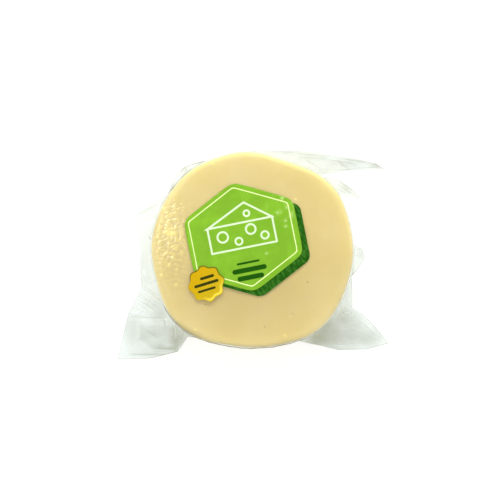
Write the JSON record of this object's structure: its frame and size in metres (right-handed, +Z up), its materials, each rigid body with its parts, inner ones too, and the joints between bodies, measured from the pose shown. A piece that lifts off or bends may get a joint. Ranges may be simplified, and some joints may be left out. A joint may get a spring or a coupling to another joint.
{
  "type": "vacuum packed cheese wheel",
  "caption": "Round of hard frying cheese in a clear shrunken vacuum bag with crumpled corners, a six sided label and a scalloped badge on its flat face, lying face up.",
  "frame": {"origin": "centre of the wheel's flat underside, on the surface it lies on", "axes": "+Z up through the wheel towards the labelled face, +Y towards the label's upper edge, +X to the right of the label"},
  "size_m": [0.1421, 0.1092, 0.0272],
  "materials": {
    "cheese_in_film": "pale yellow cheese under clear shrunken film, soft gloss with fine wrinkles",
    "clear_film": "clear crumpled plastic film, glossy",
    "dark_green_print": "dark green printed sticker with a faint leafy pattern, satin",
    "light_green_print": "light green printed sticker with a thin white line inside its edge, satin",
    "yellow_print": "warm yellow printed sticker, satin"
  },
  "bodies": {
    "root": {"bag": "cheese_in_film", "label_back": "dark_green_print", "label_front": "light_green_print", "badge": "yellow_print"}
  },
  "joints": []
}
